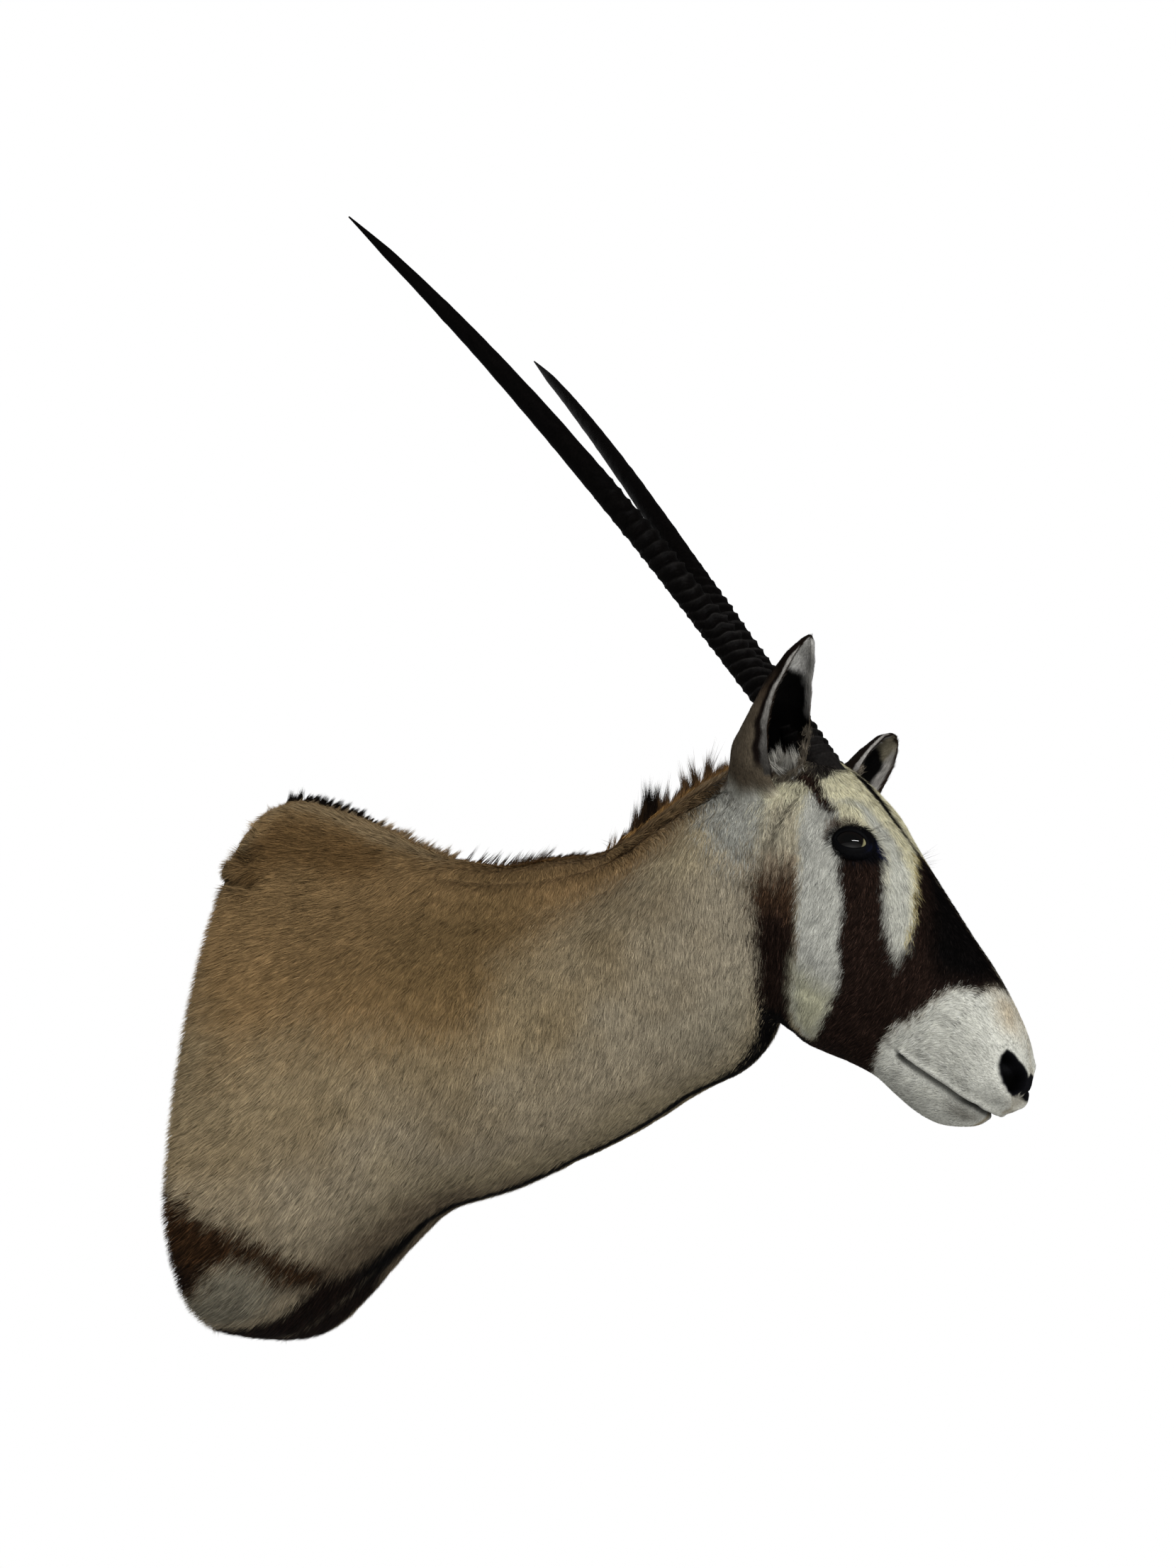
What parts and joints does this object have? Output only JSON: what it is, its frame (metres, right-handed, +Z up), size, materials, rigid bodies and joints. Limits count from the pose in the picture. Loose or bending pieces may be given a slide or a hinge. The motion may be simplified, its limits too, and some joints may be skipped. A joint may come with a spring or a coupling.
{
  "type": "gemsbok shoulder mount",
  "caption": "Wall-hung taxidermy shoulder mount of a gemsbok, with long ringed horns swept back, upright ears, glass eyes and a flat wooden board let into its back.",
  "frame": {"origin": "middle of the back board's rear face, which lies on the wall", "axes": "+Y into the wall, -Y out into the room, where the animal looks; +Z up; +X to the animal's left"},
  "size_m": [0.4167, 0.7806, 1.0997],
  "materials": {
    "hide": "short hair, tan with black and white face marks",
    "horn": "satin black keratin with raised rings on the lower half",
    "eye glass": "polished dark brown glass",
    "plywood": "bare sanded plywood"
  },
  "bodies": {
    "root": {"cape": "hide", "horn_right": "horn", "horn_left": "horn", "eye_right": "eye glass", "eye_left": "eye glass", "back_board": "plywood"}
  },
  "joints": []
}
